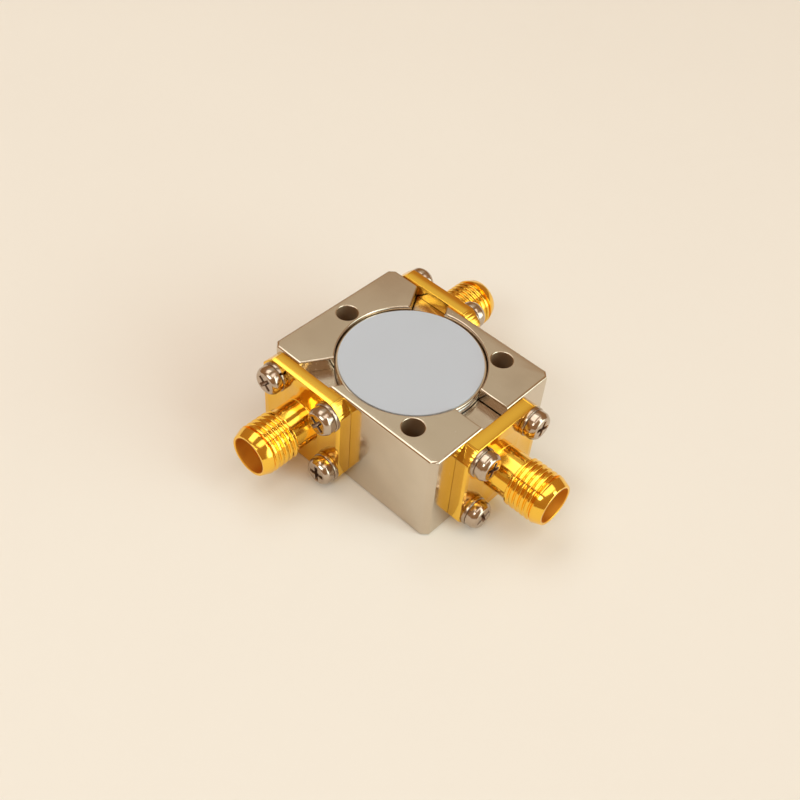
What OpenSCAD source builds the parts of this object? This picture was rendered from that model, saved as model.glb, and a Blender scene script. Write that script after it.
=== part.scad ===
// Coaxial circulator: a small plated block with a round junction cavity and three flange-mounted
// coaxial jacks. Millimetres. Z is up, the origin is on the base under the cavity's axis.
// Port 3 is on the +X face, port 1 on the -Y face and port 2 on the +Y face.

/* [Housing] */
// Block length, along X
body_l = 25.4; // [24.6:0.1:30]
// Block width, along Y
body_w = 20; // [18.6:0.1:24]
// Block height
body_h = 13; // [12.9:0.1:18]
// Flat cut down each upright edge, measured along the faces
upright_chamfer = 0.7; // [0.3:0.05:1.2]
// Width of the broken edge round the top and bottom faces
rim_ease = 0.31; // [0.22:0.01:0.4]
// Radius of the cavity's wall
bore_r = 8.9; // [8.7:0.05:9.2]
// Width of the broken edge round the cavity's mouth
bore_ease = 0.16; // [0.13:0.01:0.17]

/* [Mounting holes] */
// Radius of the three holes that pass through the block
hole_r = 1.32; // [1.1:0.02:1.36]
// Width of the broken edge at both ends of a hole
hole_ease = 0.12; // [0.05:0.01:0.12]
// Thickness of the wall between a hole and the cavity
hole_land = 0.33; // [0.3:0.01:0.5]
// Angle of the two holes near port 3, either side of X
hole_angle = 46; // [44:0.5:50]

/* [Slots and fillers] */
// Width of a slot above its ledges
slot_w = 4.25; // [4:0.05:4.6]
// Width of the broken edge along the slots' mouths
slot_ease = 0.2; // [0.18:0.01:0.21]
// Width of the channel that the conductor's arm runs in
channel_w = 3.2; // [2.8:0.1:3.4]
// How far a filler's top lies below the block's top
filler_drop = 1.75; // [1.5:0.05:2.2]
// How much narrower a filler is than its slot
filler_slack = 0.14; // [0.1:0.01:0.3]
// Part of that slack left on the side that a filler lies against
filler_side_gap = 0.02; // [0.01:0.01:0.04]
// Gap between a filler's outer end and the port face
filler_end_gap = 0.05; // [0.02:0.01:0.1]

/* [Junction stack] */
// Radius of the pole plates and of the dielectric rings
stack_r = 8.6; // [8.3:0.05:8.65]
// Radius of the two magnets
magnet_r = 8.2; // [7.6:0.05:8.4]
// Thickness of a magnet
magnet_t = 2.4; // [2:0.1:2.5]
// Thickness of a pole plate
pole_t = 1.1; // [0.9:0.05:1.2]
// Radius of a ferrite disc
ferrite_r = 6.4; // [5.8:0.1:7]
// Thickness of a ferrite disc and of the dielectric ring round it
ferrite_t = 1.2; // [1.1:0.05:1.25]
// Gap between a ferrite disc and its ring
ring_gap = 0.1; // [0.05:0.01:0.2]
// Thickness of the centre conductor
conductor_t = 0.2; // [0.15:0.01:0.25]
// Radius of the conductor's middle disc
junction_r = 5.2; // [4.6:0.1:5.6]
// Width of a conductor arm
arm_w = 2.4; // [2:0.1:2.5]
// How far short of its port a slanting arm ends, along its own line
arm_short = 1.65; // [1.55:0.05:2.1]
// Width of the pad that a contact is soldered to
pad_w = 1.8; // [1.6:0.05:1.85]
// Distance from the port face to the pad's near end
pad_inset = 0.4; // [0.3:0.05:0.5]
// Length of the pad on a slanting arm
pad_l = 1; // [0.8:0.05:1]
// Thickness of the compensation plate
compensation_t = 0.75; // [0.5:0.05:0.8]
// Thickness of the cover disc
cover_t = 0.5; // [0.4:0.05:0.6]
// Gap between the cavity's wall and the rims of the cover and the compensation plate
cover_gap = 0.05; // [0.03:0.01:0.1]
// Thickness of the label
label_t = 0.15; // [0.1:0.01:0.2]
// Width of bare cover round the label
label_margin = 0.33; // [0.1:0.01:0.6]
// Fine chamfer on the edges of the magnets and of the pole plates
plate_chamfer = 0.06; // [0.04:0.01:0.1]
// Width of the broken edge round the cover and the compensation plate
cover_ease = 0.17; // [0.1:0.01:0.18]

/* [Jacks] */
// Side of the square flange
flange_side = 12.7; // [12.4:0.1:12.8]
// Radius of the flange's rounded corners, from the jack's axis
flange_corner_r = 8; // [7.8:0.05:8.4]
// Thickness of the flange
flange_t = 1.75; // [1.5:0.05:1.9]
// Fine chamfer on the flange's edges
flange_chamfer = 0.08; // [0.04:0.01:0.12]
// Spacing of the flange's four holes
flange_pitch = 8.64; // [8.5:0.02:8.7]
// Radius of a flange hole
flange_hole_r = 1.35; // [1.3:0.05:1.4]
// Radius of the plain neck in front of the flange
neck_r = 2.77; // [2.6:0.01:2.9]
// Crest radius of the coupling thread
thread_r = 3.1; // [3:0.01:3.17]
// Where the thread starts, from the port face
thread_from = 4.7; // [4.2:0.1:5.2]
// Where the thread ends in its relief groove
thread_to = 8.28; // [8:0.02:8.4]
// Width of the relief groove
relief_w = 0.26; // [0.16:0.02:0.3]
// Radius of the relief groove's floor
relief_r = 2.78; // [2.7:0.01:2.85]
// Length of the jack, from the port face
jack_l = 9.75; // [9.4:0.05:10]
// Outer radius of the tip's lip
lip_r = 2.64; // [2.6:0.01:2.8]
// Radius of the open mouth
mouth_r = 2.3; // [2.25:0.01:2.35]
// Depth of the open mouth, down to the shoulder that a plug seats on
mouth_depth = 1.95; // [1.85:0.05:2.3]
// Chamfer on the mouth's inner edge
lip_chamfer = 0.08; // [0.05:0.01:0.2]
// Radius of the insulator's bore in the shell
insulator_r = 2.05; // [1.9:0.05:2.15]
// Radius of the contact
contact_r = 0.635; // [0.6:0.005:0.65]
// How far the insulator's face lies behind the shoulder
insulator_recess = 0.1; // [0.05:0.01:0.25]
// How far the contact's face lies behind the shoulder
contact_recess = 0.12; // [0.05:0.01:0.25]
// Radius of the contact's socket
socket_r = 0.465; // [0.44:0.005:0.49]
// Depth of the contact's socket
socket_depth = 2.6; // [2.2:0.1:3]
// Width of the cuts that part the socket's fingers
finger_cut = 0.16; // [0.1:0.01:0.2]
// Width of the flat tab behind the contact
tab_w = 0.8; // [0.7:0.02:0.84]
// Thickness of the tab
tab_t = 0.25; // [0.2:0.01:0.26]
// How far the tab reaches in from the port face
tab_l = 1.3; // [1.1:0.05:1.35]
// Clearance round the insulator and round the contact
press_gap = 0.01; // [0.005:0.005:0.02]
// Sideways place of the three jacks, within their screws' slack
seat_side = [-0.28, -0.15, 0];
// Upward place of the three jacks, within their screws' slack
seat_up = [-0.05, 0.25, -0.1];

/* [Fasteners] */
// Radius of a flange screw's shank
screw_r = 1; // [0.9:0.05:1]
// Length of the shank, under the head
screw_l = 3; // [2.9:0.05:3.1]
// Radius of the pan head
head_r = 1.76; // [1.7:0.02:1.82]
// Height of the pan head
head_h = 1.4; // [1.3:0.05:1.5]
// Radius of the head's rounding
head_dome_r = 1.9; // [1.85:0.05:2.1]
// Radius of the flat in the middle of the head's top
head_flat_r = 1.4; // [1.3:0.02:1.46]
// Length across the cross recess
recess_l = 2.1; // [1.8:0.05:2.3]
// Width of a wing of the recess
recess_w = 0.5; // [0.4:0.02:0.6]
// Depth of the recess
recess_depth = 0.8; // [0.6:0.05:0.9]
// Clearance between a shank and its hole in the block
screw_gap = 0.03; // [0.02:0.01:0.05]
// Depth of a screw hole in the block
screw_hole_depth = 0.95; // [0.9:0.01:1]
// Outer radius of a lock washer
washer_r = 1.87; // [1.84:0.01:1.95]
// Inner radius of a lock washer
washer_hole_r = 1.08; // [1.05:0.01:1.15]
// Thickness of a lock washer
washer_t = 0.5; // [0.4:0.05:0.55]
// Width of the split in a lock washer
split_w = 0.25; // [0.2:0.05:0.35]
// Slant of the split
split_slant = 25; // [15:1:35]

/* [Hidden] */
$fn = 48;
arm_step = 120;
axis_z = body_h / 2;
port_side = body_w / 2 * tan(arm_step / 4);
port_x = [-port_side, -port_side, body_l / 2];
port_y = [-body_w / 2, body_w / 2, 0];
port_turn = [-90, 90, 0];
arm_turn = [2 * arm_step, arm_step, 0];
arm_l = body_w / 2 / cos(arm_step / 4) - arm_short;
hole_ring_r = bore_r + hole_land + hole_r;
cover_r = bore_r - cover_gap;
half = flange_pitch / 2;
strip_low = axis_z - conductor_t / 2;
strip_top = axis_z + conductor_t / 2;
channel_floor = strip_low - ferrite_t;
ledge_z = strip_top + ferrite_t;
magnet_low_z = channel_floor - pole_t - magnet_t;
magnet_high_z = ledge_z + pole_t;
compensation_z = magnet_high_z + magnet_t;
cover_z = compensation_z + compensation_t;
label_z = cover_z + cover_t;
filler_top = body_h - filler_drop;
filler_w = slot_w - filler_slack;
filler_edge = filler_side_gap - slot_w / 2;
shoulder = jack_l - mouth_depth;
insulator_l = shoulder - insulator_recess;
contact_l = shoulder - contact_recess;
head_z = flange_t + washer_t;
dome_z = head_h - sqrt(head_dome_r * head_dome_r - head_flat_r * head_flat_r);
tip_from = thread_to + relief_w;
ease_share = 1 - 1 / sqrt(2);
reach = body_l;
cut = 1;
knife = 0.2;

// A rectangle with its corners cut off flat.
module cut_rect(l, w, c) {
    polygon([[c - l / 2, -w / 2], [l / 2 - c, -w / 2], [l / 2, c - w / 2], [l / 2, w / 2 - c],
        [l / 2 - c, w / 2], [c - l / 2, w / 2], [-l / 2, w / 2 - c], [-l / 2, c - w / 2]]);
}

// A rectangle with its corners broken by two flats, which follow a quarter round.
module eased_rect(l, w) {
    near = ease_share * rim_ease;
    corner = [[l / 2 - rim_ease, w / 2], [l / 2 - near, w / 2 - near], [l / 2, w / 2 - rim_ease]];
    polygon([for (p = corner) p, for (i = [2:-1:0]) [corner[i][0], -corner[i][1]],
        for (p = corner) -p, for (i = [2:-1:0]) [-corner[i][0], corner[i][1]]]);
}

// The block's outside: each prism breaks one pair of the edges of the others.
module block() {
    diagonal = (body_l + body_w - 2 * upright_chamfer) / sqrt(2);
    intersection() {
        linear_extrude(height = body_h)
            cut_rect(body_l, body_w, upright_chamfer);
        translate([0, body_w / 2 + cut, axis_z])
            rotate([90, 0, 0])
                linear_extrude(height = body_w + 2 * cut)
                    eased_rect(body_l, body_h);
        translate([-body_l / 2 - cut, 0, axis_z])
            rotate([90, 0, 90])
                linear_extrude(height = body_l + 2 * cut)
                    eased_rect(body_w, body_h);
        intersection_for (turn = [-45, 45])
            rotate([0, 0, turn])
                translate([0, reach, axis_z])
                    rotate([90, 0, 0])
                        linear_extrude(height = 2 * reach)
                            eased_rect(diagonal, body_h);
    }
}

// One arm's slot: the conductor's channel, the ledges, the open slot and its broken mouth.
module slot_cut(turn) {
    low = channel_w / 2;
    high = slot_w / 2;
    near = ease_share * slot_ease;
    side = [[low, channel_floor], [low, ledge_z], [high, ledge_z], [high, body_h - slot_ease],
        [high + near, body_h - near], [high + 2 * slot_ease - near, body_h + near]];
    rotate([0, 0, turn])
        rotate([90, 0, 90])
            linear_extrude(height = reach)
                polygon([for (p = side) p,
                    for (i = [len(side) - 1:-1:0]) [-side[i][0], side[i][1]]]);
}

// Breaks the edge of a round opening in the block's top by two flats.
module round_mouth(radius, ease) {
    near = ease_share * ease;
    translate([0, 0, body_h])
        rotate_extrude()
            polygon([[0, -ease], [radius, -ease], [radius + near, -near],
                [radius + 2 * ease - near, near], [0, near]]);
}

// A through hole with a broken edge at both ends.
module through_hole() {
    translate([0, 0, -cut])
        cylinder(h = body_h + 2 * cut, r = hole_r);
    round_mouth(hole_r, hole_ease);
    translate([0, 0, body_h])
        mirror([0, 0, 1])
            round_mouth(hole_r, hole_ease);
}

// Puts its children on a port: local X points out of the face, Y along it and Z up.
module at_port(i) {
    translate([port_x[i], port_y[i], axis_z])
        rotate([0, 0, port_turn[i]])
            children();
}

// The same, where the jack itself sits.
module at_seat(i) {
    at_port(i)
        translate([0, seat_side[i], seat_up[i]])
            children();
}

// Its children at the four corners of a flange, turned so that Z points out of the face.
module at_corners() {
    for (y = [-half, half])
        for (z = [-half, half])
            translate([0, y, z])
                rotate([0, 90, 0])
                    children();
}

// A round plate with fine chamfers on both edges.
module plate(radius, thick, chamfer = plate_chamfer) {
    rotate_extrude()
        polygon([[0, 0], [radius - chamfer, 0], [radius, chamfer],
            [radius, thick - chamfer], [radius - chamfer, thick], [0, thick]]);
}

// A round plate with broken edges, each of two flats that follow a quarter round.
module eased_plate(radius, thick) {
    near = ease_share * cover_ease;
    edge = [[radius - cover_ease, 0], [radius - near, near], [radius, cover_ease]];
    rotate_extrude()
        polygon([[0, 0], for (p = edge) p, for (i = [2:-1:0]) [edge[i][0], thick - edge[i][1]],
            [0, thick]]);
}

module housing() {
    color([0.72, 0.66, 0.58])
        difference() {
            block();
            translate([0, 0, magnet_low_z])
                cylinder(h = body_h, r = bore_r);
            round_mouth(bore_r, bore_ease);
            for (turn = arm_turn)
                slot_cut(turn);
            for (turn = [-hole_angle, hole_angle, 180])
                rotate([0, 0, turn])
                    translate([hole_ring_r, 0, 0])
                        through_hole();
            for (i = [0, 1, 2])
                at_port(i)
                    translate([-screw_hole_depth, 0, 0])
                        at_corners()
                            cylinder(h = screw_hole_depth + cut, r = screw_r + screw_gap);
        }
}

module magnet(z) {
    color([0.2, 0.2, 0.21])
        translate([0, 0, z])
            plate(magnet_r, magnet_t);
}

module lower_magnet() {
    magnet(magnet_low_z);
}

module upper_magnet() {
    magnet(magnet_high_z);
}

module pole_plate(z) {
    color([0.6, 0.6, 0.6])
        translate([0, 0, z])
            plate(stack_r, pole_t);
}

module lower_pole_plate() {
    pole_plate(channel_floor - pole_t);
}

module upper_pole_plate() {
    pole_plate(ledge_z);
}

module ferrite(z) {
    color([0.16, 0.15, 0.15])
        translate([0, 0, z])
            cylinder(h = ferrite_t, r = ferrite_r);
}

module lower_ferrite() {
    ferrite(channel_floor);
}

module upper_ferrite() {
    ferrite(strip_top);
}

module dielectric_ring(z) {
    color([0.93, 0.92, 0.88])
        translate([0, 0, z])
            difference() {
                cylinder(h = ferrite_t, r = stack_r);
                translate([0, 0, -cut])
                    cylinder(h = ferrite_t + 2 * cut, r = ferrite_r + ring_gap);
            }
}

module lower_dielectric_ring() {
    dielectric_ring(channel_floor);
}

module upper_dielectric_ring() {
    dielectric_ring(strip_top);
}

// The junction's flat conductor: a disc, three arms and a pad where each slanting arm meets its port.
module centre_conductor() {
    straight_l = body_l / 2 - pad_inset;
    color([0.8, 0.8, 0.82])
        translate([0, 0, strip_low])
            union() {
                cylinder(h = conductor_t, r = junction_r);
                translate([0, -arm_w / 2, 0])
                    cube([straight_l, arm_w, conductor_t]);
                for (i = [0, 1])
                    rotate([0, 0, arm_turn[i]])
                        translate([0, -arm_w / 2, 0])
                            cube([arm_l, arm_w, conductor_t]);
                for (side = [-1, 1])
                    translate([-port_side - pad_w / 2,
                        side * (body_w / 2 - pad_inset - pad_l / 2) - pad_l / 2, 0])
                        cube([pad_w, pad_l, conductor_t]);
            }
}

module compensation_plate() {
    color([0.66, 0.65, 0.62])
        translate([0, 0, compensation_z])
            eased_plate(cover_r, compensation_t);
}

module cover_disc() {
    color([0.74, 0.7, 0.64])
        translate([0, 0, cover_z])
            eased_plate(cover_r, cover_t);
}

module label_disc() {
    color([0.8, 0.81, 0.8])
        translate([0, 0, label_z])
            cylinder(h = label_t, r = cover_r - label_margin);
}

// A block that closes a slot over the conductor's arm. It lies against one side, which leaves a slit.
module filler(i) {
    room_l = body_l - 2 * filler_end_gap;
    room_w = body_w - 2 * filler_end_gap;
    color([0.72, 0.66, 0.58])
        difference() {
            intersection() {
                rotate([0, 0, arm_turn[i]])
                    translate([magnet_r - cut, filler_edge, ledge_z])
                        cube([reach, filler_w, filler_top - ledge_z]);
                translate([-room_l / 2, -room_w / 2, 0])
                    cube([room_l, room_w, body_h]);
            }
            cylinder(h = body_h, r = bore_r);
        }
}

module filler_port_1() {
    filler(0);
}

module filler_port_2() {
    filler(1);
}

module filler_port_3() {
    filler(2);
}

// A jack's flange: a length of drawn bar, square with rounded corners, every edge chamfered.
module flange() {
    intersection() {
        rotate([0, 90, 0])
            plate(flange_corner_r, flange_t, flange_chamfer);
        intersection_for (turn = [0, 90])
            rotate([turn, 0, 0])
                translate([flange_t / 2, 0, -flange_side / 2 - cut])
                    linear_extrude(height = flange_side + 2 * cut)
                        cut_rect(flange_t, flange_side, flange_chamfer);
    }
}

// One jack's metal shell, all one piece of bar: the flange, then the neck, the plain cylinder that
// carries the thread, the relief groove and the tapered tip.
module shell(i) {
    color([0.9, 0.66, 0.25])
        at_seat(i)
            difference() {
                union() {
                    flange();
                    rotate([0, 90, 0])
                        rotate_extrude()
                            polygon([[0, flange_t / 2], [neck_r, flange_t / 2], [neck_r, thread_from],
                                [thread_r - knife, thread_from], [thread_r, thread_from + knife],
                                [thread_r, thread_to], [relief_r, thread_to], [relief_r, tip_from],
                                [thread_r, tip_from], [lip_r, jack_l], [0, jack_l]]);
                }
                rotate([0, 90, 0])
                    rotate_extrude()
                        polygon([[0, -cut], [insulator_r, -cut], [insulator_r, shoulder],
                            [mouth_r, shoulder], [mouth_r, jack_l - lip_chamfer],
                            [mouth_r + lip_chamfer + cut, jack_l + cut], [0, jack_l + cut]]);
                translate([-cut, 0, 0])
                    at_corners()
                        cylinder(h = flange_t + 2 * cut, r = flange_hole_r);
            }
}

module shell_port_1() {
    shell(0);
}

module shell_port_2() {
    shell(1);
}

module shell_port_3() {
    shell(2);
}

module insulator(i) {
    color([0.95, 0.95, 0.93])
        at_seat(i)
            rotate([0, 90, 0])
                difference() {
                    cylinder(h = insulator_l, r = insulator_r - press_gap);
                    translate([0, 0, -cut])
                        cylinder(h = insulator_l + 2 * cut, r = contact_r + press_gap);
                }
}

module insulator_port_1() {
    insulator(0);
}

module insulator_port_2() {
    insulator(1);
}

module insulator_port_3() {
    insulator(2);
}

// A socket with four fingers in front and a flat tab behind, which lies on the conductor.
module contact(i) {
    tab_z = conductor_t / 2 - seat_up[i];
    color([0.92, 0.72, 0.3])
        at_seat(i)
            difference() {
                union() {
                    rotate([0, 90, 0])
                        cylinder(h = contact_l, r = contact_r);
                    translate([-tab_l, -tab_w / 2, tab_z])
                        cube([tab_l + contact_r, tab_w, tab_t]);
                }
                translate([contact_l - socket_depth, 0, 0])
                    rotate([0, 90, 0])
                        cylinder(h = socket_depth + cut, r = socket_r);
                for (turn = [0, 90])
                    translate([contact_l - socket_depth + cut, 0, 0])
                        rotate([turn, 0, 0])
                            translate([0, -finger_cut / 2, -contact_r - cut])
                                cube([socket_depth, finger_cut, 2 * (contact_r + cut)]);
            }
}

module contact_port_1() {
    contact(0);
}

module contact_port_2() {
    contact(1);
}

module contact_port_3() {
    contact(2);
}

module lock_washer() {
    translate([0, 0, flange_t])
        difference() {
            cylinder(h = washer_t, r = washer_r);
            translate([0, 0, -cut])
                cylinder(h = washer_t + 2 * cut, r = washer_hole_r);
            translate([(washer_r + washer_hole_r) / 2, 0, washer_t / 2])
                rotate([split_slant, 0, 0])
                    cube([2 * cut, split_w, 2 * cut], center = true);
        }
}

module lock_washers() {
    color([0.62, 0.6, 0.58])
        for (i = [0, 1, 2])
            at_port(i)
                at_corners()
                    lock_washer();
}

// A pan head screw with a cross recess.
module flange_screw() {
    translate([0, 0, head_z])
        difference() {
            union() {
                intersection() {
                    cylinder(h = head_h, r = head_r);
                    translate([0, 0, dome_z])
                        sphere(r = head_dome_r);
                }
                translate([0, 0, -screw_l])
                    cylinder(h = screw_l + head_h / 4, r = screw_r);
            }
            for (turn = [0, 90])
                rotate([0, 0, turn + 45])
                    translate([-recess_l / 2, -recess_w / 2, head_h - recess_depth])
                        cube([recess_l, recess_w, head_h]);
        }
}

module flange_screws() {
    color([0.7, 0.69, 0.67])
        for (i = [0, 1, 2])
            at_port(i)
                at_corners()
                    flange_screw();
}

housing();
lower_magnet();
lower_pole_plate();
lower_ferrite();
lower_dielectric_ring();
centre_conductor();
upper_ferrite();
upper_dielectric_ring();
upper_pole_plate();
upper_magnet();
compensation_plate();
cover_disc();
label_disc();
filler_port_1();
filler_port_2();
filler_port_3();
shell_port_1();
shell_port_2();
shell_port_3();
insulator_port_1();
insulator_port_2();
insulator_port_3();
contact_port_1();
contact_port_2();
contact_port_3();
lock_washers();
flange_screws();
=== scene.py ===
# %% [markdown]
# A coaxial circulator is a small plated block with a round cavity in its top. A stack of magnets,
# plates and ferrite discs fills the cavity, and three gold-plated screw-on jacks carry the signal
# in and out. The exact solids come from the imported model. They stay where they are, and this
# lesson adds what a solid model leaves out: the cut thread, the worn and softened edges, the
# pressed screw recesses, the finishes, the studio and the camera.
# %% Load the frame
import math

import bmesh
import bpy
from mathutils import Matrix, Vector


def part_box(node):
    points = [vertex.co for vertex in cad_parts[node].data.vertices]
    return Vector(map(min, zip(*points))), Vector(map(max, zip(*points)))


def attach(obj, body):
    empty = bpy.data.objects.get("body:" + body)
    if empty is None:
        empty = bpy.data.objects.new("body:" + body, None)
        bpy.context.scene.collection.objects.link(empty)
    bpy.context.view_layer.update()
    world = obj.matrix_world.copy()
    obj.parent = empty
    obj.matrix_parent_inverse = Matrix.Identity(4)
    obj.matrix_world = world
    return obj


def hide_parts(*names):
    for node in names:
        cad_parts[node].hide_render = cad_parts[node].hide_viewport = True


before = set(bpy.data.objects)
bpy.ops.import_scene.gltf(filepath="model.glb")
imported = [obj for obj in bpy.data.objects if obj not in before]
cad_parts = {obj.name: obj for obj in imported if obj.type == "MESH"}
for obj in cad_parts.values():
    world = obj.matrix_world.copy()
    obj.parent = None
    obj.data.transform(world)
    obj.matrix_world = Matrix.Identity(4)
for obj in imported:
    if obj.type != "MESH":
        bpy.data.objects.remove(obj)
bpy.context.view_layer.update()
MM = 0.001
print("nodes:", len(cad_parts))

# %% [markdown]
# The ports are worked out from the block itself. Port 3 is in the middle of the +X face. The other
# two lie where lines at 120 degrees from it, through the cavity's axis, leave the narrow sides.
# The jacks sit a little off these places, within the slack of their screw holes, so each jack's
# own axis is read from its solid.
# %% Find the ports and the jacks' axes
block_low, block_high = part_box("housing")
ARM_STEP = math.radians(120)
side_x = -block_high.y * math.tan(ARM_STEP / 4)
middle_z = (block_low.z + block_high.z) / 2
PORT_FACES = {
    1: (Vector((side_x, block_low.y, middle_z)), -math.pi / 2),
    2: (Vector((side_x, block_high.y, middle_z)), math.pi / 2),
    3: (Vector((block_high.x, 0, middle_z)), 0.0),
}


def port_frame(port):
    """Local X points out of the port's face, Y along it and Z up."""
    place, turn = PORT_FACES[port]
    return Matrix.Translation(place) @ Matrix.Rotation(turn, 4, "Z")


def jack_frame(port):
    """The same axes on the jack itself."""
    low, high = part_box(f"shell_port_{port}")
    face, turn = PORT_FACES[port]
    place = (low + high) / 2
    if port == 3:
        place.x = face.x
    else:
        place.y = face.y
    return Matrix.Translation(place) @ Matrix.Rotation(turn, 4, "Z")


for port in PORT_FACES:
    print("jack", port, [round(v / MM, 3) for v in jack_frame(port).translation])

# %% [markdown]
# Sums in a material are easier to read as sums than as boxes and wires. This small class wraps a
# socket, and each operator adds the Math node that does it. The reflected forms let a plain number
# stand on the left, as in 1 - mask.
# %% Sums on sockets
class Value:
    """An output socket that can be added, taken away and multiplied."""

    def __init__(self, nodes, socket):
        self.nodes = nodes
        self.socket = socket

    def maths(self, operation, left, right):
        """The Math node for one operation."""
        return self.nodes.add("Math", {"operation": operation}, {0: left, 1: right})

    def __add__(self, other):
        return self.maths("ADD", self, other)

    def __radd__(self, other):
        return self.maths("ADD", other, self)

    def __sub__(self, other):
        return self.maths("SUBTRACT", self, other)

    def __rsub__(self, other):
        return self.maths("SUBTRACT", other, self)

    def __mul__(self, other):
        return self.maths("MULTIPLY", self, other)

print("sums ready")

# %% [markdown]
# Materials and the room's light are both trees of nodes. The add method takes a node's type, then
# the settings that must come first, then the numbers or links for its sockets, and gives back the
# socket that comes out. Two more methods cover what nearly every tree here needs: a soft ramp
# between two levels, and a mix of two colours.
# %% The tree builder
class Tree:
    """Adds nodes to one node tree."""

    def __init__(self, tree):
        self.tree = tree

    def add(self, kind, settings=None, inputs=None, out=0):
        """A node of that kind; its settings are set before its sockets."""
        node = self.tree.nodes.new("ShaderNode" + kind)
        for key, setting in (settings or {}).items():
            if key == "stops":
                self.set_stops(node.color_ramp, setting)
            else:
                setattr(node, key, setting)
        for key, value in (inputs or {}).items():
            self.feed(node.inputs[key], value)
        return Value(self, node.outputs[out])

    def set_stops(self, ramp, stops):
        """A ramp's places and colours."""
        while len(ramp.elements) < len(stops):
            ramp.elements.new(1.0)
        for element, (place, colour) in zip(ramp.elements, stops):
            element.position = place
            element.color = colour

    def feed(self, socket, value):
        """A link where the value is a socket, else a number or a colour."""
        if isinstance(value, Value):
            self.tree.links.new(value.socket, socket)
        else:
            socket.default_value = value

    def ramp(self, value, low, high):
        """0 below low and 1 above high, with soft ends."""
        inputs = {"Value": value, "From Min": low, "From Max": high}
        return self.add("MapRange", {"interpolation_type": "SMOOTHSTEP"}, inputs, out="Result")

    def mix(self, amount, first, second):
        """A colour between two colours, by the Mix node's numbered colour sockets."""
        inputs = {"Factor": amount, 6: first, 7: second}
        return self.add("Mix", {"data_type": "RGBA"}, inputs, out=2)


print("tree builder ready")

# %% [markdown]
# A finish is one material: a tree that ends in the usual shader. It measures its noise in real
# millimetres, and it can stretch or turn the place that the noise is read from, which makes
# scratches and turning marks.
# %% The finish builder
class Finish(Tree):
    """A node material, built from its shader outwards."""

    def __init__(self, name, **sockets):
        self.material = bpy.data.materials.new(name)
        self.material.use_nodes = True
        super().__init__(self.material.node_tree)
        self.shader = self.tree.nodes["Principled BSDF"]
        for socket, value in sockets.items():
            title = socket.replace("_", " ").title().replace("Ior", "IOR")
            self.shader.inputs[title].default_value = value
        self.place = self.add("TexCoord", out="Object")

    def noise(self, size_mm, detail, roughness=0.5, place=None):
        """Noise whose features are about that many millimetres across."""
        inputs = {"Vector": place or self.place, "Scale": 1 / (size_mm * MM),
                  "Detail": detail, "Roughness": roughness}
        return self.add("TexNoise", {}, inputs, out="Fac")

    def stretch(self, scale, place=None):
        """The place, stretched by a factor along each axis."""
        return self.add("VectorMath", {"operation": "MULTIPLY"}, {0: place or self.place, 1: scale})

    def turn(self, degrees):
        """The place, turned about the upright axis."""
        return self.add("VectorRotate", {"rotation_type": "Z_AXIS"},
                        {"Vector": self.place, "Angle": math.radians(degrees)})

    def colour(self, value):
        """The shader's colour."""
        self.feed(self.shader.inputs["Base Color"], value)

    def roughness(self, value):
        """The shader's roughness."""
        self.feed(self.shader.inputs["Roughness"], value)

    def bump(self, height, depth_mm):
        """Relief whose full height is that many millimetres."""
        normal = self.add("Bump", {}, {"Height": height, "Strength": 1.0, "Distance": depth_mm * MM})
        self.feed(self.shader.inputs["Normal"], normal)


print("finish builder ready")

# %% [markdown]
# The block is machined brass with bright nickel over it. Nickel is a warm grey mirror that time
# turns satin: handling leaves faint clouds, a few hairlines and pin-prick pits. Clouds change the
# roughness more than the colour, because a mirror shows the room and not itself. Hairlines are
# noise stretched some eighty times along one direction. The fillers were milled along their slots,
# so theirs run that way and are deeper. The walls of the through holes stay as drilled, so they are
# rougher. Their darker, browner tone is partly the thin plating and partly painted shade inside the
# holes. The distance from a hole's axis finds them.
# %% Nickel plate
NICKEL = (0.655, 0.57, 0.46, 1)
DULL_NICKEL = (0.61, 0.525, 0.42, 1)
HOLE_ANGLES = (-46, 46, 180)
HOLE_RING_MM = 10.55
HOLE_R_MM = 1.32
# Tone of the hole walls: partly bare drilled brass, partly painted shade inside the holes.
DRILLED_AND_SHADED_TONE = (0.62, 0.46, 0.3, 1)


def drilled(finish):
    """1 on the walls of the three through holes, 0 elsewhere."""
    flat = finish.stretch((1 / MM, 1 / MM, 0.0))
    walls = 0.0
    for angle in HOLE_ANGLES:
        turn = math.radians(angle)
        axis = (HOLE_RING_MM * math.cos(turn), HOLE_RING_MM * math.sin(turn), 0)
        away = finish.add("VectorMath", {"operation": "DISTANCE"}, {0: flat, 1: axis}, out="Value")
        walls = walls + (1 - finish.ramp(away, HOLE_R_MM + 0.01, HOLE_R_MM + 0.03))
    return walls


def nickel_finish(name, rough, along=0.0, marks=0.35):
    """Satin nickel: clouds, hairlines and pits."""
    finish = Finish(name, metallic=1.0)
    clouds = finish.noise(5.0, detail=4)
    grain = finish.noise(0.12, detail=3)
    lines = finish.noise(0.3, detail=3, place=finish.stretch((0.012, 1.0, 1.0), finish.turn(along)))
    pits = finish.ramp(finish.noise(0.22, detail=1), 0.74, 0.82)
    walls = drilled(finish)
    plated = finish.mix(finish.ramp(clouds, 0.35, 0.7), NICKEL, DULL_NICKEL)
    # The hole walls take the darker tone, which holds painted shade.
    finish.colour(finish.mix(walls, plated, DRILLED_AND_SHADED_TONE))
    finish.roughness(rough + clouds * 0.07 + lines * 0.05 + pits * 0.2 + walls * 0.4)
    finish.bump(grain * 0.4 + lines * marks - pits * 0.6, 0.004)
    return finish.material


nickel_plate = nickel_finish("nickel_plate", rough=0.09)
SLOT_TURN = {1: -240, 2: -120, 3: 0}
filler_nickel = {port: nickel_finish(f"filler_nickel_{port}", rough=0.15, along=turn, marks=1.0)
                 for port, turn in SLOT_TURN.items()}
print(nickel_plate.name, len(filler_nickel), "filler finishes")
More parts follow.
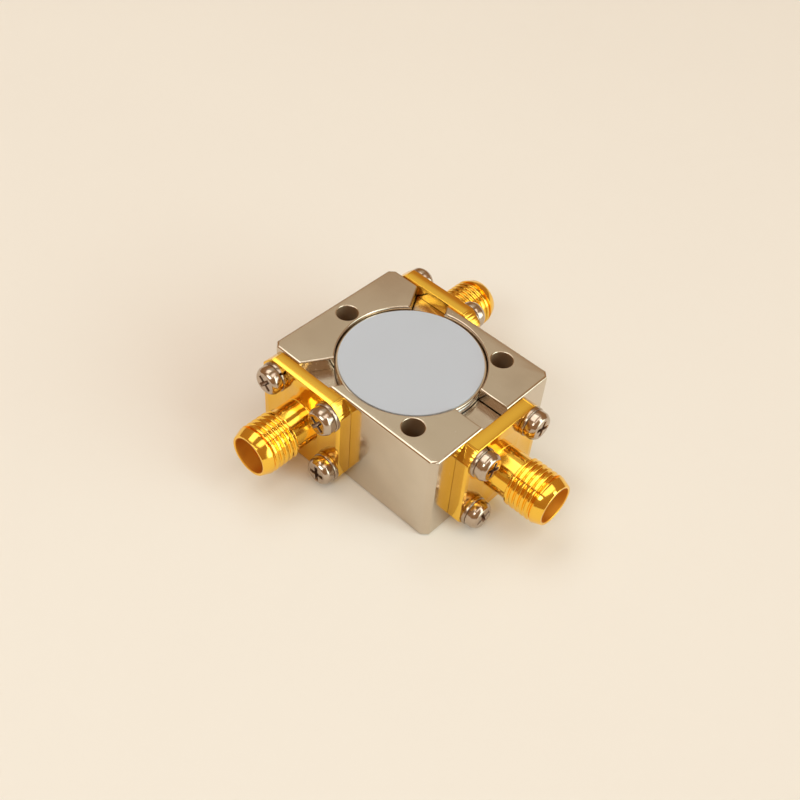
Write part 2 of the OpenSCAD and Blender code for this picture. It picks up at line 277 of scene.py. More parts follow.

# %% [markdown]
# The jacks are turned brass under a thin gold plate, polished enough to mirror each other. Local X
# is a jack's own axis, so turning marks are rings: noise that changes along X alone. The flange is
# cut from drawn bar, whose rounded corners keep the die's lines along the axis: noise that does not
# change along X. The mouth is left as bored, which makes it the roughest place. Its deep, dark gold
# is painted shade inside the mouth. The distance from the axis tells these places apart.
# %% Gold plate
CORNER_R_MM = 8.0
BORED_R_MM = 2.35
GOLD = (1.0, 0.62, 0.088, 1)
RED_GOLD = (0.99, 0.58, 0.072, 1)
# Gold inside the mouth: painted shade, darker and redder than the plate.
MOUTH_SHADE_GOLD = (0.72, 0.32, 0.035, 1)


def jack_gold_finish():
    """Bright gold over turned and drawn brass."""
    finish = Finish("gold_plate", metallic=1.0)
    clouds = finish.noise(2.5, detail=3)
    rings = finish.noise(0.08, detail=2, place=finish.stretch((1.0, 0.004, 0.004)))
    drawn = finish.noise(0.26, detail=1, place=finish.stretch((0.0, 1.0, 1.0)))
    across = finish.stretch((0.0, 1.0 / MM, 1.0 / MM))
    radius = finish.add("VectorMath", {"operation": "LENGTH"}, {0: across}, out="Value")
    corner = finish.ramp(radius, CORNER_R_MM - 0.1, CORNER_R_MM - 0.05)
    # Mask of the mouth: rougher where bored, and its darker gold is painted shade.
    bored_and_shaded = 1 - finish.ramp(radius, BORED_R_MM - 0.02, BORED_R_MM + 0.03)
    finish.colour(finish.mix(bored_and_shaded, finish.mix(clouds, GOLD, RED_GOLD), MOUTH_SHADE_GOLD))
    finish.roughness(0.07 + clouds * 0.06 + rings * 0.05 + bored_and_shaded * 0.4)
    finish.bump(rings * 0.2 + drawn * corner * 16.0, 0.003)
    return finish.material


def contact_gold_finish():
    """Gold on the small contacts, with no marks that follow an axis."""
    finish = Finish("contact_gold", metallic=1.0)
    clouds = finish.noise(0.6, detail=3)
    finish.colour(finish.mix(clouds, GOLD, RED_GOLD))
    finish.roughness(0.14 + clouds * 0.08)
    finish.bump(finish.noise(0.05, detail=2), 0.002)
    return finish.material


gold_plate = jack_gold_finish()
contact_gold = contact_gold_finish()
print(gold_plate.name, contact_gold.name)

# %% [markdown]
# The screws are plated steel, cold-formed, so their heads are bright with a faint orange peel. The
# recess has a darker finish of its own, which is painted shade down in the cross. The lock washers
# are plainer and darker, as the drawn wire was.
# %% Screw and washer steel
def steel_finish(name, base, deep, rough, peel_mm):
    """Plated steel with patches of grime."""
    finish = Finish(name, metallic=1.0)
    peel = finish.noise(peel_mm, detail=2)
    grime = finish.ramp(finish.noise(0.7, detail=5, roughness=0.6), 0.55, 0.8)
    finish.colour(finish.mix(grime, base, deep))
    finish.roughness(rough + peel * 0.08 + grime * 0.15)
    finish.bump(peel, 0.006)
    return finish.material


# Name: clean tone, grime's tone, roughness, size of the peel in millimetres.
STEELS = {
    "steel": ((0.53, 0.43, 0.34, 1), (0.28, 0.2, 0.13, 1), 0.14, 0.2),
    # The recess's two tones are painted shade in the deep cross of the screw heads.
    "recess_shade_steel": ((0.24, 0.16, 0.11, 1), (0.1, 0.065, 0.045, 1), 0.3, 0.1),
    "plain_steel": ((0.46, 0.37, 0.29, 1), (0.25, 0.18, 0.13, 1), 0.2, 0.12),
}
steels = {name: steel_finish(name, *numbers) for name, numbers in STEELS.items()}
print(", ".join(steels))

# %% [markdown]
# The label is a plain disc of pale grey film with a soft, even sheen. Its face is not quite flat
# where it was pressed down, and the film has a very fine grain.
# %% Label film
LABEL_TONE = (0.5, 0.553, 0.637, 1)
LABEL_SHADE = (0.48, 0.533, 0.612, 1)


def label_finish():
    """Matt pale film."""
    finish = Finish("label", specular_ior_level=0.35)
    waves = finish.noise(6.0, detail=1)
    grain = finish.noise(0.06, detail=2)
    finish.colour(finish.mix(waves, LABEL_TONE, LABEL_SHADE))
    finish.roughness(0.5 + grain * 0.12)
    finish.bump(waves * 6.0 + grain * 0.3, 0.004)
    return finish.material


label_film = label_finish()
print(label_film.name)

# %% [markdown]
# Inside the block are materials that show only when it is taken apart. Each still gets a finish
# of its own: ground iron, sintered magnet and ferrite, moulded dielectric, silvered strip and the
# waxy white insulator of the jacks. They differ in colour, in how large their grain is and in how
# deep it goes, so one function with those numbers makes them all.
# %% Inner finishes
def grained_finish(name, base, deep, rough, grain_mm, depth_mm, metallic):
    """A finish told by its two tones and its grain."""
    finish = Finish(name, metallic=metallic)
    grain = finish.noise(grain_mm, detail=4, roughness=0.6)
    patches = finish.noise(grain_mm * 12, detail=2)
    finish.colour(finish.mix(finish.ramp(grain * 0.6 + patches * 0.4, 0.35, 0.65), base, deep))
    finish.roughness(rough + grain * 0.15)
    finish.bump(grain, depth_mm)
    return finish.material


# Name: tone, second tone, roughness, grain and its depth in millimetres, 1 for a metal.
INNER_FINISHES = {
    "ground_iron": ((0.58, 0.57, 0.55, 1), (0.48, 0.47, 0.45, 1), 0.2, 0.1, 0.004, 1.0),
    "magnet_alloy": ((0.1, 0.1, 0.105, 1), (0.06, 0.06, 0.065, 1), 0.45, 0.15, 0.012, 0.0),
    "ferrite": ((0.075, 0.07, 0.068, 1), (0.045, 0.042, 0.042, 1), 0.35, 0.06, 0.005, 0.0),
    "dielectric": ((0.84, 0.82, 0.76, 1), (0.78, 0.76, 0.7, 1), 0.4, 0.2, 0.006, 0.0),
    "silvered": ((0.9, 0.89, 0.86, 1), (0.82, 0.8, 0.76, 1), 0.12, 0.15, 0.003, 1.0),
    "insulator": ((0.86, 0.86, 0.84, 1), (0.8, 0.8, 0.78, 1), 0.32, 0.25, 0.005, 0.0),
}
inner = {name: grained_finish(name, *numbers) for name, numbers in INNER_FINISHES.items()}
print(", ".join(inner))

# %% [markdown]
# The exact solids keep their shapes and take these finishes. The start of a node's name says which.
# %% Dress the solids
FINISHES = {
    "housing": nickel_plate,
    "filler_port_1": filler_nickel[1],
    "filler_port_2": filler_nickel[2],
    "filler_port_3": filler_nickel[3],
    "cover_disc": nickel_plate,
    "label_disc": label_film,
    "compensation_plate": inner["ground_iron"],
    "upper_pole": inner["ground_iron"],
    "lower_pole": inner["ground_iron"],
    "upper_magnet": inner["magnet_alloy"],
    "lower_magnet": inner["magnet_alloy"],
    "upper_ferrite": inner["ferrite"],
    "lower_ferrite": inner["ferrite"],
    "upper_dielectric": inner["dielectric"],
    "lower_dielectric": inner["dielectric"],
    "centre_conductor": inner["silvered"],
    "insulator": inner["insulator"],
    "contact": contact_gold,
    "shell": gold_plate,
    "flange_screws": steels["steel"],
    "lock_washers": steels["plain_steel"],
}
for name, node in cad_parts.items():
    finish = next(f for start, f in FINISHES.items() if name.startswith(start))
    node.data.materials.clear()
    node.data.materials.append(finish)
print("dressed", len(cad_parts))

# %% [markdown]
# New pieces are built in millimetres in a local frame and then put in place. These helpers join
# rings of points into a skin, hand a built mesh over to Blender, put an object into the scene, and
# make the finished piece, which rides on the one body that the part has.
# %% Mesh helpers
WELD_MM = 0.0002


def ring_skin(mesh, rings, closed=True):
    """Joins rings of points, each to the next, and the last to the first where closed."""
    rows = [[mesh.verts.new(p) for p in ring] for ring in rings]
    pairs = list(zip(rows, rows[1:]))
    if closed:
        pairs.append((rows[-1], rows[0]))
    for first, second in pairs:
        for i in range(len(first)):
            j = (i + 1) % len(first)
            mesh.faces.new((first[i], first[j], second[j], second[i]))
    return rows


def mesh_data(mesh, name):
    """Blender's own mesh from the built one, which is then freed."""
    data = bpy.data.meshes.new(name)
    mesh.to_mesh(data)
    mesh.free()
    return data


def add_object(name, data):
    """An object in the scene."""
    made = bpy.data.objects.new(name, data)
    bpy.context.scene.collection.objects.link(made)
    return made


def finish_piece(mesh, name, place, material, replaced, sharp_angle):
    """Makes the object, in metres and in its place; edges past that angle stay sharp."""
    bmesh.ops.recalc_face_normals(mesh, faces=mesh.faces)
    data = mesh_data(mesh, name)
    data.transform(Matrix.Scale(MM, 4))
    data.shade_smooth()
    data.set_sharp_from_angle(angle=math.radians(sharp_angle))
    data.materials.append(material)
    piece = add_object(name, data)
    piece.matrix_world = place
    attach(piece, "root")
    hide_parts(replaced)
    print(name, len(data.polygons), "faces")
    return piece


# %% [markdown]
# The block's edges are broken by two narrow flats in the solid model. Plating rolls them into one
# smooth round that catches the lamp as a thin bright line, while the wide faces stay dead flat. The
# shape is right already, so only the shading normals change. Triangles in one plane form a region.
# Each corner of a narrow region takes the mean of the regions that meet there, weighted by their
# areas, so the flats bend towards the wide faces and the wide faces don't bend at all. Wide faces
# bend only towards neighbours within 30 degrees, which keeps round walls round and the upright
# corner cuts crisp. A region's width is twice its area over the length of its rim, which is right
# for a long strip. The cover disc and the compensation plate are rolled in the same way.
# %% Roll the broken edges
NARROW_MM = 0.25
SMOOTH_ANGLE = math.radians(30)
ROLL_ANGLE = math.radians(50)
FLUSH_COSINE = 0.99999


def plane_regions(mesh):
    """For each face the index of its region, and each region's normal, area and width."""
    region_of = {}
    regions = []
    for start in mesh.faces:
        if start.index in region_of:
            continue
        members, queue = [], [start]
        region_of[start.index] = len(regions)
        while queue:
            face = queue.pop()
            members.append(face)
            for edge in face.edges:
                for other in edge.link_faces:
                    flush = other.normal.dot(start.normal) > FLUSH_COSINE
                    if flush and other.index not in region_of:
                        region_of[other.index] = len(regions)
                        queue.append(other)
        area = sum(face.calc_area() for face in members)
        inside = {face.index for face in members}
        rim = sum(edge.calc_length() for face in members for edge in face.edges
                  if not all(other.index in inside for other in edge.link_faces))
        regions.append((start.normal.copy(), area, 2 * area / rim))
    return region_of, regions


def rolled_normal(own, near, regions):
    """The shading normal of one region's corner where those regions meet."""
    normal, _, width = regions[own]
    limit = ROLL_ANGLE if width < NARROW_MM else SMOOTH_ANGLE
    total = Vector()
    for other in near:
        other_normal, other_area, _ = regions[other]
        if normal.angle(other_normal) < limit:
            total += other_normal * other_area
    return total.normalized()


def roll_edges(name, material):
    """A copy of a solid, with rolled edges, in the solid's place."""
    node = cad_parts[name]
    mesh = bmesh.new()
    mesh.from_mesh(node.data)
    mesh.transform(Matrix.Scale(1 / MM, 4) @ node.matrix_world)
    bmesh.ops.remove_doubles(mesh, verts=mesh.verts, dist=WELD_MM)
    mesh.normal_update()
    mesh.faces.index_update()
    region_of, regions = plane_regions(mesh)
    normals = []
    for face in mesh.faces:
        own = region_of[face.index]
        for loop in face.loops:
            near = {region_of[other.index] for other in loop.vert.link_faces}
            normals.append(rolled_normal(own, near, regions))
    data = mesh_data(mesh, name + "_skin")
    data.transform(Matrix.Scale(MM, 4))
    data.shade_smooth()
    data.normals_split_custom_set(normals)
    data.materials.append(material)
    piece = add_object(name + "_skin", data)
    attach(piece, "root")
    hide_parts(name)
    print(name, len(regions), "regions")


roll_edges("housing", nickel_plate)
roll_edges("cover_disc", nickel_plate)
roll_edges("compensation_plate", inner["ground_iron"])

# %% [markdown]
# A jack's barrel is a lathe job. The outline runs from the flange along the neck, over the thread,
# down the taper to the lip and back in along the mouth. Where the thread is, the radius also
# depends on the angle: one turn moves the groove along by one pitch. The groove has the 60 degree
# flanks of the real thread, and averaging a few places along it rounds the crest and the root.
# Distances along the jack, called w, start at the port's face. The sizes repeat the solid model's.
# %% The cut thread
NECK_R = 2.77
THREAD_R = 3.1
THREAD_PITCH = 25.4 / 36
THREAD_FROM = 4.7
THREAD_END = 8.28
TIP_FROM = 8.54
JACK_L = 9.75
LIP_R = 2.64
FIRST_ROOT = THREAD_FROM + 0.1
ROOT_FLAT = THREAD_PITCH / 14
THREAD_DEPTH = 0.24
FLANK = math.radians(60)
LEAD_IN = 0.2
WEAR = (-0.045, -0.015, 0.015, 0.045)


def cut_radius(w, turn):
    """The sharp-edged thread's radius where the tool passed at that turn."""
    groove = (w - FIRST_ROOT) / THREAD_PITCH - turn
    away = abs(groove - round(groove)) * THREAD_PITCH - ROOT_FLAT
    rise = max(0.0, away) * math.tan(FLANK)
    return THREAD_R - THREAD_DEPTH + min(THREAD_DEPTH, rise)


def thread_radius(w, angle):
    """The worn thread's radius, held under the lead-in."""
    turn = angle / (2 * math.pi)
    worn = sum(cut_radius(w + d, turn) for d in WEAR) / len(WEAR)
    lead = NECK_R + (w - THREAD_FROM) * (THREAD_R - NECK_R) / LEAD_IN
    return min(worn, max(NECK_R, lead))


middle_w = (THREAD_FROM + THREAD_END) / 2
print("thread radius at mid length:", round(thread_radius(middle_w, 0.0), 3))

# %% [markdown]
# The outline is a list of rings, each with its distance from the port's face and its radius. A
# relief groove parts the thread from the taper, as on the real jack, and small steps round the
# edges at the neck's foot, the taper's start and the lip.
# %% The barrel
COLUMNS = 128
RING_STEP = 0.03
RELIEF_R = 2.78
MOUTH_R = 2.3
MOUTH_DEPTH = 1.95
LIP_CHAMFER = 0.08
INSULATOR_R = 2.05
FLANGE_T = 1.75


def barrel_rings():
    """(distance, radius or None for the thread) down the outside and back inside."""
    neck = [(0.0, NECK_R), (FLANGE_T, NECK_R + 0.1), (FLANGE_T + 0.02, NECK_R + 0.04)]
    neck += [(FLANGE_T + 0.06, NECK_R + 0.01), (FLANGE_T + 0.1, NECK_R), (THREAD_FROM, NECK_R)]
    land = THREAD_END - THREAD_FROM
    steps = round(land / RING_STEP)
    thread = [(THREAD_FROM + land * i / steps, None) for i in range(1, steps + 1)]
    relief = [(THREAD_END + 0.03, RELIEF_R), (TIP_FROM - 0.03, RELIEF_R)]
    taper_l = JACK_L - TIP_FROM
    slope = (LIP_R - THREAD_R) / taper_l
    taper = [(TIP_FROM - 0.01, THREAD_R - 0.08), (TIP_FROM + 0.02, THREAD_R - 0.03)]
    taper += [(TIP_FROM + d, THREAD_R + slope * d) for d in (0.08, 0.5, taper_l - 0.05)]
    chamfer_r, chamfer_w = MOUTH_R + LIP_CHAMFER, JACK_L - LIP_CHAMFER
    lip = [(JACK_L - 0.012, LIP_R - 0.012), (JACK_L, LIP_R - 0.04)]
    lip += [(JACK_L, chamfer_r + 0.02), (JACK_L - 0.012, chamfer_r - 0.01)]
    mouth = [(chamfer_w, MOUTH_R + 0.01), (chamfer_w - 0.05, MOUTH_R), (JACK_L - MOUTH_DEPTH, MOUTH_R)]
    bore = [(JACK_L - MOUTH_DEPTH, INSULATOR_R), (0.0, INSULATOR_R)]
    return neck + thread + relief + taper + lip + mouth + bore


def add_barrel(mesh):
    """The turned part of a jack."""
    rings = []
    for w, r in barrel_rings():
        ring = []
        for i in range(COLUMNS):
            angle = 2 * math.pi * i / COLUMNS
            radius = thread_radius(w, angle) if r is None else r
            ring.append((w, radius * math.cos(angle), radius * math.sin(angle)))
        rings.append(ring)
    ring_skin(mesh, rings)


print(len(barrel_rings()), "rings")

# %% [markdown]
# The flange is a plate with a centre hole and four screw holes, its corners left round from the
# bar. Blender's flat curves do exactly this: closed splines inside one another become holes, the
# extrusion gives the thickness, and the curve's own bevel breaks every edge alike. The curve is
# turned into a mesh afterwards. The centre hole ends inside the barrel's wall, so it shows nowhere.
# %% The flange
FLANGE_SIDE = 12.7
FLANGE_PITCH = 8.64
FLANGE_HOLE_R = 1.35
CENTRE_HOLE_R = INSULATOR_R + 0.3
EDGE_BREAK = 0.07


def arc(centre, radius, start, end, steps):
    """Points on an arc."""
    angles = [start + (end - start) * i / steps for i in range(steps + 1)]
    return [(centre[0] + radius * math.cos(a), centre[1] + radius * math.sin(a)) for a in angles]


def flange_outlines():
    """The outer edge and the five holes."""
    half = math.pi / 4 - math.acos(FLANGE_SIDE / 2 / CORNER_R_MM)
    outer = []
    for quarter in range(4):
        middle = math.pi / 4 + quarter * math.pi / 2
        outer += arc((0, 0), CORNER_R_MM, middle - half, middle + half, 10)
    holes = [arc((0, 0), CENTRE_HOLE_R, 0, 2 * math.pi, 48)[:-1]]
    at = FLANGE_PITCH / 2
    for y in (-at, at):
        for z in (-at, at):
            holes.append(arc((y, z), FLANGE_HOLE_R, 0, 2 * math.pi, 40)[:-1])
    return [outer] + holes


def flange_mesh():
    """The plate as a mesh, with local Z out of the face."""
    curve = bpy.data.curves.new("flange_outline", "CURVE")
    curve.dimensions = "2D"
    curve.fill_mode = "BOTH"
    for points in flange_outlines():
        spline = curve.splines.new("POLY")
        spline.points.add(len(points) - 1)
        for point, (y, z) in zip(spline.points, points):
            point.co = (y, z, 0, 1)
        spline.use_cyclic_u = True
    curve.extrude = FLANGE_T / 2 - EDGE_BREAK
    curve.bevel_depth = EDGE_BREAK
    curve.bevel_resolution = 2
    curve.offset = -EDGE_BREAK
    holder = bpy.data.objects.new("flange_outline", curve)
    made = bpy.data.meshes.new_from_object(holder)
    bpy.data.objects.remove(holder)
    return made


plate_mesh = flange_mesh()
print("flange", len(plate_mesh.polygons), "faces")

# %% [markdown]
# Barrel and flange go into one mesh, because the real shell is one piece. The plate is turned so
# that its thickness runs along the jack's axis. Each barrel is twisted about its axis by an angle of
# its own, so that no two threads start at the same place, as on real jacks.
# %% Three jack shells
THREAD_TWIST = {1: 0.6, 2: 2.3, 3: 4.4}


def jack_shell(port):
    """One jack in its place."""
    mesh = bmesh.new()
    add_barrel(mesh)
    bmesh.ops.rotate(mesh, verts=mesh.verts, matrix=Matrix.Rotation(THREAD_TWIST[port], 3, "X"))
    plate = bmesh.new()
    plate.from_mesh(plate_mesh)
    bmesh.ops.remove_doubles(plate, verts=plate.verts, dist=WELD_MM)
    stand = Matrix.Translation((FLANGE_T / 2, 0, 0)) @ Matrix.Rotation(math.pi / 2, 4, "Y")
    bmesh.ops.transform(plate, matrix=stand, verts=plate.verts)
    standing = mesh_data(plate, "plate")
    mesh.from_mesh(standing)
    bpy.data.meshes.remove(standing)
    finish_piece(mesh, f"jack_shell_{port}", jack_frame(port), gold_plate,
                 f"shell_port_{port}", sharp_angle=30)


for port in PORT_FACES:
    jack_shell(port)

# %% [markdown]
# A pan head is cold-formed, and its recess is pressed with a tapered cross punch: the wings narrow
# and shorten with depth, and meet in a blunt point. The head is a lathe outline. The punch is a
# solid of its own, and a Boolean modifier takes it out of the head. A narrow bevel then rolls the
# rim of the recess, as pressing does. The faces below that rim take the second finish. A level of
# the punch is given by its shares of the recess's length and width and its height over the crown.
# %% One screw
HEAD_R = 1.76
HEAD_H = 1.4
DOME_R = 1.9
HEAD_FLAT_R = 1.4
SHANK_R = 1.0
SHANK_L = 3.0
RECESS_L = 2.1
RECESS_W = 0.5
RECESS_DEPTH = 0.8
PUNCH_LEVELS = [(1.06, 1.15, 0.1), (1.0, 1.0, -0.02), (0.86, 0.86, -0.4), (0.5, 0.6, -RECESS_DEPTH)]
RIM_ROUND = 0.035
RIM_DEPTH = 0.05


def lathe(mesh, outline, columns):
    """A solid of revolution about Z, from a point on the axis to another."""
    crown, foot = [mesh.verts.new((0, 0, z)) for _, z in (outline[0], outline[-1])]
    angles = [2 * math.pi * i / columns for i in range(columns)]
    rings = [[(r * math.cos(a), r * math.sin(a), z) for a in angles] for r, z in outline[1:-1]]
    rows = ring_skin(mesh, rings, closed=False)
    for i in range(columns):
        j = (i + 1) % columns
        mesh.faces.new((crown, rows[0][j], rows[0][i]))
        mesh.faces.new((foot, rows[-1][i], rows[-1][j]))


def head_outline():
    """From the crown over the dome and down to the shank's end."""
    dome_z = HEAD_H - math.sqrt(DOME_R ** 2 - HEAD_FLAT_R ** 2)
    outline = [(0, HEAD_H), (0.6, HEAD_H), (HEAD_FLAT_R - 0.12, HEAD_H - 0.003)]
    outline += [(HEAD_FLAT_R - 0.03, HEAD_H - 0.02), (HEAD_FLAT_R + 0.02, HEAD_H - 0.055)]
    for i in range(1, 8):
        r = HEAD_FLAT_R + 0.02 + (HEAD_R - 0.05 - HEAD_FLAT_R) * i / 7
        outline.append((r, dome_z + math.sqrt(DOME_R ** 2 - r ** 2) - 0.012))
    outline += [(HEAD_R - 0.01, outline[-1][1] - 0.07), (HEAD_R, outline[-1][1] - 0.18)]
    outline += [(HEAD_R, 0.12), (HEAD_R - 0.02, 0.05), (HEAD_R - 0.08, 0.0)]
    outline += [(SHANK_R, 0.0), (SHANK_R, 0.2 - SHANK_L), (SHANK_R - 0.2, -SHANK_L), (0, -SHANK_L)]
    return outline


def cross(length, width, z):
    """Twelve points round a cross."""
    far, near = length / 2, width / 2
    quarter = [(far, -near), (far, near), (near, near)]
    points = []
    for turn in range(4):
        c, s = math.cos(turn * math.pi / 2), math.sin(turn * math.pi / 2)
        points += [(x * c - y * s, x * s + y * c, z) for x, y in quarter]
    return points


def punch_mesh():
    """The tapered cross punch."""
    mesh = bmesh.new()
    rings = [cross(RECESS_L * long, RECESS_W * wide, HEAD_H + z) for long, wide, z in PUNCH_LEVELS]
    rows = ring_skin(mesh, rings, closed=False)
    mesh.faces.new(rows[0])
    mesh.faces.new(rows[-1])
    bmesh.ops.recalc_face_normals(mesh, faces=mesh.faces)
    return mesh_data(mesh, "punch")


def screw_mesh():
    """The head with its recess, in millimetres."""
    mesh = bmesh.new()
    lathe(mesh, head_outline(), 64)
    bmesh.ops.recalc_face_normals(mesh, faces=mesh.faces)
    head = add_object("screw", mesh_data(mesh, "screw"))
    punch = add_object("punch", punch_mesh())
    press = head.modifiers.new("press", "BOOLEAN")
    press.object = punch
    press.operation = "DIFFERENCE"
    press.solver = "EXACT"
    roll = head.modifiers.new("roll", "BEVEL")
    roll.width = RIM_ROUND
    roll.segments = 2
    roll.limit_method = "ANGLE"
    roll.angle_limit = math.radians(40)
    bpy.context.view_layer.update()
    made = bpy.data.meshes.new_from_object(head.evaluated_get(bpy.context.evaluated_depsgraph_get()))
    for helper in (head, punch):
        bpy.data.objects.remove(helper)
    # Faces down inside the recess take the second finish, which is painted shade.
    for face in made.polygons:
        below_rim = RIM_DEPTH < HEAD_H - face.center.z < RECESS_DEPTH + RIM_DEPTH
        if below_rim and math.hypot(face.center.x, face.center.y) < RECESS_L / 2:
            face.material_index = 1
    return made


one_screw = screw_mesh()
print("screw", len(one_screw.polygons), "faces")

# %% [markdown]
# Twelve screws and twelve washers repeat round the ports. Nobody lines up screw slots, so every
# copy gets a turn of its own from the golden angle, which never repeats. A lock washer is a split
# ring of square wire: a rounded section is carried round almost the whole circle. It leans, so the
# two cut ends slant, and one of them slants a little less.
# %% Screws and lock washers
WASHER_T = 0.5
WASHER_R = 1.87
WASHER_HOLE_R = 1.08
WASHER_STEPS = 56
WIRE_SOFT = 0.06
SPLIT = 0.25
SPLIT_LEAN = 0.12
GOLDEN_ANGLE = math.pi * (3 - math.sqrt(5))


def screw_places():
    """The frame of each screw hole on a port's face, local Z out of it."""
    at = FLANGE_PITCH / 2
    for port in PORT_FACES:
        for y in (-at, at):
            for z in (-at, at):
                spot = Matrix.Translation(Vector((0, y, z)) * MM)
                yield port_frame(port) @ spot @ Matrix.Rotation(math.pi / 2, 4, "Y")


def in_millimetres(matrix):
    """The same frame for a mesh in millimetres."""
    moved = matrix.copy()
    moved.translation = matrix.translation / MM
    return moved


def wire_section():
    """The square wire with its soft corners, as (radius, height)."""
    near, far, low, high = WASHER_HOLE_R, WASHER_R, 0.0, WASHER_T
    soft, mid = WIRE_SOFT, WIRE_SOFT * 0.3
    section = [(near, low + soft), (near, high - soft), (near + mid, high - mid)]
    section += [(near + soft, high), (far - soft, high), (far - mid, high - mid)]
    section += [(far, high - soft), (far, low + soft), (far - mid, low + mid)]
    section += [(far - soft, low), (near + soft, low), (near + mid, low + mid)]
    return section


def washer_rings():
    """Sections of the split ring."""
    gap = SPLIT / (WASHER_R + WASHER_HOLE_R)
    rings = []
    for i in range(WASHER_STEPS + 1):
        angle = gap + (2 * math.pi - 2 * gap) * i / WASHER_STEPS
        lean = SPLIT_LEAN * (0.9 if i == 0 else 1)
        ring = []
        for r, z in wire_section():
            slanted = angle + (z / WASHER_T - 0.5) * lean
            ring.append((r * math.cos(slanted), r * math.sin(slanted), z))
        rings.append(ring)
    return rings


screws = bmesh.new()
washers = bmesh.new()
for number, place in enumerate(screw_places()):
    turned = in_millimetres(place) @ Matrix.Rotation(number * GOLDEN_ANGLE, 4, "Z")
    copy = one_screw.copy()
    copy.transform(turned @ Matrix.Translation((0, 0, FLANGE_T + WASHER_T)))
    screws.from_mesh(copy)
    bpy.data.meshes.remove(copy)
    lift = turned @ Matrix.Translation((0, 0, FLANGE_T))
    rings = [[lift @ Vector(p) for p in ring] for ring in washer_rings()]
    rows = ring_skin(washers, rings, closed=False)
    washers.faces.new(rows[0])
    washers.faces.new(rows[-1])
screw_set = finish_piece(screws, "screw_set", Matrix.Identity(4), steels["steel"],
                         "flange_screws", sharp_angle=40)
# The second finish: painted shade in the recesses.
screw_set.data.materials.append(steels["recess_shade_steel"])
finish_piece(washers, "washer_set", Matrix.Identity(4), steels["plain_steel"],
             "lock_washers", sharp_angle=50)

# %% [markdown]
# The part stands on a plain pale table. Bright metal shows its surroundings, so the table's tone is
# also the tone of every upright face when it is seen from above.
# %% The table
TABLE_REACH_M = 4.0
TABLE_TONE = (0.84, 0.82, 0.775, 1)
TABLE_SHADE = (0.82, 0.795, 0.75, 1)


def table_finish():
    """Pale matt board."""
    finish = Finish("table", specular_ior_level=0.2)
    mottle = finish.noise(40.0, detail=3)
    finish.colour(finish.mix(mottle, TABLE_TONE, TABLE_SHADE))
    finish.roughness(0.75 + mottle * 0.1)
    return finish.material


mesh = bmesh.new()
bmesh.ops.create_grid(mesh, x_segments=8, y_segments=8, size=TABLE_REACH_M)
table = add_object("table", mesh_data(mesh, "table"))
table.data.materials.append(table_finish())
print("table", [round(side, 2) for side in table.dimensions], "m")

# %% [markdown]
# The highlights on the barrels tell how the studio was lit. A barrel mirrors only one ring of
# directions, so each bright band round it is one crossing of that ring by a lamp. Two soft strips
# hang overhead, either side of the part. Two cooler lamps hang where no flat face or barrel mirrors
# them, one to the side and one in front: they light the label and the table, and the heads of the
# screws catch them. Each panel hangs parallel to the table. Its edges are given as slopes, which is
# how far they lie sideways for each unit of height, because that is what a mirror direction tells.
# %% The lamps
LAMP_HEIGHT_M = 0.6
WHITE = (1.0, 1.0, 0.98)
COOL_WHITE = (0.93, 1.04, 1.03)


def panel(name, low_x, high_x, low_y, high_y, radiance, colour):
    """A lamp that hangs between those slopes; its power follows from its radiance and area."""
    lamp = bpy.data.lights.new(name, "AREA")
    lamp.shape = "RECTANGLE"
    lamp.size = (high_x - low_x) * LAMP_HEIGHT_M
    lamp.size_y = (high_y - low_y) * LAMP_HEIGHT_M
    lamp.energy = radiance * math.pi * lamp.size * lamp.size_y
    lamp.color = colour
    middle = Vector(((low_x + high_x) / 2, (low_y + high_y) / 2, 1))
    add_object(name, lamp).location = middle * LAMP_HEIGHT_M


panel("left_strip", -0.72, -0.19, -0.56, 0.46, 1.8, WHITE)
panel("right_strip", 0.17, 0.6, -0.55, 0.6, 1.6, WHITE)
panel("side_lamp", 0.7, 1.2, 0.2, 0.52, 4.6, COOL_WHITE)
panel("front_lamp", -0.25, 0.55, -1.4, -0.8, 4.6, COOL_WHITE)

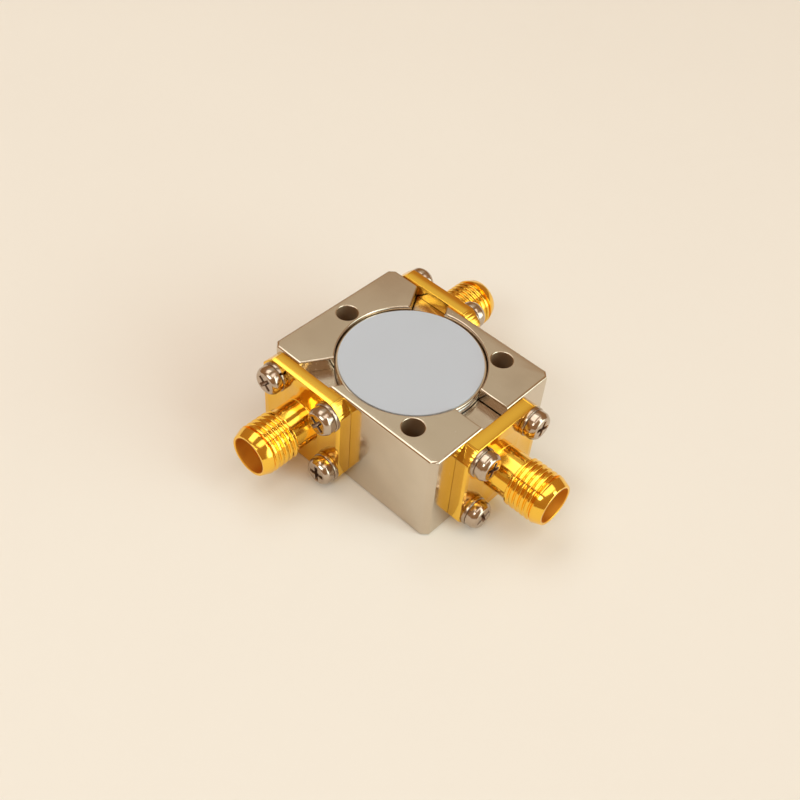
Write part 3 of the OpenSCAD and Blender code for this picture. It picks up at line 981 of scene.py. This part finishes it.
# %% [markdown]
# The room itself is the world: dim and warm. Two soft patches light it. The glow behind the part,
# half way up, is what the block's top and the flanges' edges mirror. The window on port 3's side,
# low down, is a large cool patch that no flat face mirrors. It lights the table beside the block and
# gives the screw heads a bright rim. Each patch is a soft step in the cosine of the angle from its
# middle, so it is told by its height and bearing in degrees, the two cosines and its light. Past
# the table's far edge the camera sees a pale backdrop instead of the room.
# %% The room
ROOM = [
    (0.0, (0.4, 0.225, 0.1, 1)),
    (0.6, (0.45, 0.25, 0.12, 1)),
    (1.0, (0.38, 0.25, 0.13, 1)),
]
PATCHES = {
    "glow": (55, 133, 0.93, 0.99, (0.71, 0.635, 0.505, 1)),
    "window": (10, 16, 0.82, 0.94, (3.0, 3.6, 3.5, 1)),
}
BACKDROP = (0.86, 0.79, 0.7, 1)
world = bpy.data.worlds.new("room")
world.use_nodes = True
bpy.context.scene.world = world
room = Tree(world.node_tree)
direction = room.add("TexCoord", out="Generated")
height = room.add("SeparateXYZ", {}, {0: direction}, out="Z")
light = room.add("ValToRGB", {"stops": ROOM}, {"Fac": height})
for height_deg, bearing_deg, dark, bright, tone in PATCHES.values():
    up, bearing = math.radians(height_deg), math.radians(bearing_deg)
    middle = (math.cos(up) * math.cos(bearing), math.cos(up) * math.sin(bearing), math.sin(up))
    cosine = room.add("VectorMath", {"operation": "DOT_PRODUCT"}, {0: direction, 1: middle}, out="Value")
    light = room.mix(room.ramp(cosine, dark, bright), light, tone)
seen = room.add("LightPath", out="Is Camera Ray")
room.feed(room.tree.nodes["Background"].inputs["Color"], room.mix(seen, light, BACKDROP))
bpy.context.scene.view_settings.view_transform = "Standard"
print("patches", len(PATCHES))

# %% [markdown]
# The camera looks down at the front corner between ports 1 and 3, from about 120 millimetres, with
# the view of a normal lens. Its place, turn and lens were fitted to the edges and circles of the
# photograph.
# %% The camera
CAMERA_PLACE = Vector((53.6854, -66.5193, 97.4306)) * MM
CAMERA_TURN = [math.radians(a) for a in (42.8884, -3.6924, 43.4539)]
LENS_MM = 46.827
SENSOR_MM = 36.0
lens = bpy.data.cameras.new("camera")
lens.lens = LENS_MM
lens.sensor_width = SENSOR_MM
lens.clip_start = 0.005
lens.clip_end = 20.0
camera = add_object("camera", lens)
camera.location = CAMERA_PLACE
camera.rotation_euler = CAMERA_TURN
bpy.context.scene.camera = camera
print("camera height in mm:", round(CAMERA_PLACE.z / MM, 1))

# %% [markdown]
# The last cell brings the scene up to date.
# %% Update the scene
bpy.context.view_layer.update()
